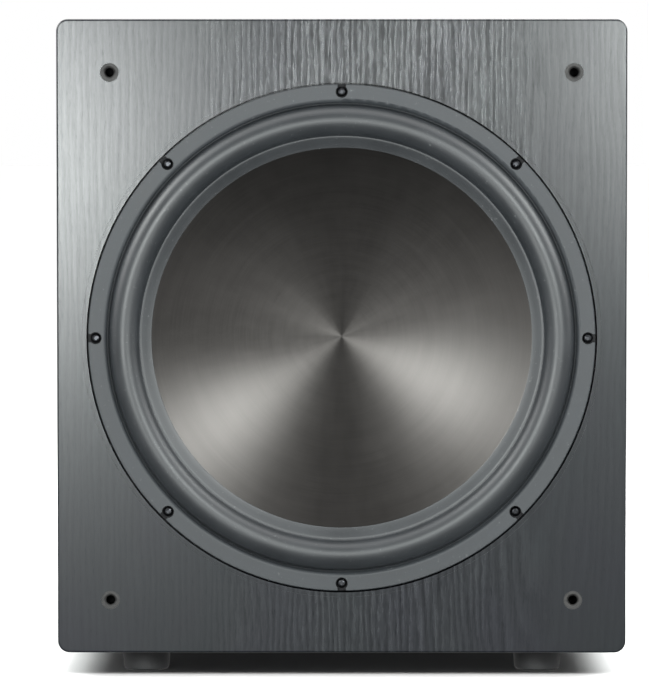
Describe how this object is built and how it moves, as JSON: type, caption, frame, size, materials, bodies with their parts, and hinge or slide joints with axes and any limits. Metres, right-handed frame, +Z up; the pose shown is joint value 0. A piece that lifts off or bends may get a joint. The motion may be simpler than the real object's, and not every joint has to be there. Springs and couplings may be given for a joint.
{
  "type": "subwoofer",
  "caption": "Sealed powered subwoofer: boxy stained-wood cabinet on rubber feet, long-throw metal-cone driver in front, amplifier plate with controls at the back.",
  "frame": {"origin": "on the floor, under the middle of the object's box", "axes": "+Z up, the driver faces -Y, the amplifier's plate faces +Y, +X is to the right as seen from the front"},
  "size_m": [0.44, 0.4738, 0.51],
  "materials": {
    "black_oak": "open-grained, stained black, satin",
    "bare_board": "bare fibreboard",
    "wadding": "bonded fibre wadding",
    "black_plastic": "fine-textured moulding",
    "satin_rubber": "satin rubber",
    "foot_rubber": "matt rubber",
    "foam": "closed-cell foam",
    "cast_aluminium": "cast, painted black",
    "spun_aluminium": "turned, dark anodised",
    "black_steel": "black oxide",
    "plated_steel": "zinc plated",
    "ferrite": "sintered, dull",
    "spider_cloth": "resin-stiffened woven cloth",
    "former_film": "amber film",
    "copper": "enamelled copper wire",
    "gold_plate": "gold plated",
    "cable_sheath": "soft cable sheath",
    "plate_black": "brushed, black anodised",
    "can_steel": "galvanised sheet",
    "circuit_board": "glass-fibre board",
    "winding_tape": "yellow tape",
    "capacitor_sleeve": "shrink sleeve",
    "fin_aluminium": "extruded",
    "knob_plastic": "moulded",
    "bright_steel": "nickel plated",
    "insert_plastic": "moulded",
    "fuse_glass": "glass tube",
    "lens_blue": "translucent"
  },
  "bodies": {
    "cabinet": {"front_baffle": "black_oak", "inner_baffle": "bare_board", "top_panel": "black_oak", "bottom_panel": "black_oak", "left_panel": "black_oak", "right_panel": "black_oak", "back_panel": "black_oak", "window_brace": "bare_board", "damping_lining": "wadding", "grille_sockets": "black_plastic", "rubber_feet": "foot_rubber", "foot_screws": "plated_steel", "driver_frame": "cast_aluminium", "frame_gasket": "foam", "trim_ring": "satin_rubber", "driver_screws": "black_steel", "tee_nuts": "plated_steel", "surround": "satin_rubber", "spider": "spider_cloth", "top_plate": "black_steel", "magnets": "ferrite", "pole_yoke": "black_steel", "shorting_ring": "fin_aluminium", "motor_bolts": "plated_steel", "terminal_bushes": "black_plastic", "terminal_posts": "gold_plate", "tinsel_leads": "copper", "speaker_wires": "cable_sheath", "amp_plate": "plate_black", "amp_gasket": "foam", "amp_screws": "black_steel", "amp_can": "can_steel", "main_board": "circuit_board", "transformer": "winding_tape", "capacitors": "capacitor_sleeve", "heat_sink": "fin_aluminium", "output_chokes": "copper", "board_standoffs": "gold_plate", "control_board": "circuit_board", "potentiometers": "can_steel", "toggle_bodies": "can_steel", "panel_nuts": "bright_steel", "rca_shells": "gold_plate", "rca_inserts": "insert_plastic", "mains_inlet": "black_plastic", "inlet_pins": "bright_steel", "inlet_screws": "bright_steel", "rocker_housing": "black_plastic", "status_light": "lens_blue"},
    "diaphragm": {"cone": "spun_aluminium", "coil_former": "former_film", "voice_coil": "copper"},
    "gain_knob": {"gain_knob": "knob_plastic"},
    "crossover_knob": {"crossover_knob": "knob_plastic"},
    "phase_knob": {"phase_knob": "knob_plastic"},
    "power_rocker": {"power_rocker": "knob_plastic"},
    "mode_toggle": {"mode_toggle": "bright_steel"},
    "filter_toggle": {"filter_toggle": "bright_steel"},
    "fuse_drawer": {"fuse_drawer": "black_plastic", "fuse": "fuse_glass"}
  },
  "joints": [
    {"name": "cone_slide", "type": "slide", "parent": "cabinet", "child": "diaphragm", "axis": [0, 1, 0], "range_m": [-0.015, 0.015], "stiffness_N_per_m": 5000, "deforming": ["surround", "spider", "tinsel_leads"]},
    {"name": "gain_turn", "type": "hinge", "parent": "cabinet", "child": "gain_knob", "pos_m": [0.066, 0.22045, 0.37], "axis": [0, 1, 0], "range_deg": [-150, 150]},
    {"name": "crossover_turn", "type": "hinge", "parent": "cabinet", "child": "crossover_knob", "pos_m": [0, 0.22045, 0.37], "axis": [0, 1, 0], "range_deg": [-150, 150]},
    {"name": "phase_turn", "type": "hinge", "parent": "cabinet", "child": "phase_knob", "pos_m": [-0.066, 0.22045, 0.37], "axis": [0, 1, 0], "range_deg": [-150, 150]},
    {"name": "power_rock", "type": "hinge", "parent": "cabinet", "child": "power_rocker", "pos_m": [-0.05, 0.21545, 0.155], "axis": [1, 0, 0], "range_deg": [0, 16]},
    {"name": "mode_flick", "type": "hinge", "parent": "cabinet", "child": "mode_toggle", "pos_m": [0.04, 0.22385, 0.315], "axis": [1, 0, 0], "range_deg": [-12, 12]},
    {"name": "filter_flick", "type": "hinge", "parent": "cabinet", "child": "filter_toggle", "pos_m": [-0.04, 0.22385, 0.315], "axis": [1, 0, 0], "range_deg": [0, 24]},
    {"name": "fuse_drawer_slide", "type": "slide", "parent": "cabinet", "child": "fuse_drawer", "axis": [0, 1, 0], "range_m": [0, 0.018]}
  ]
}
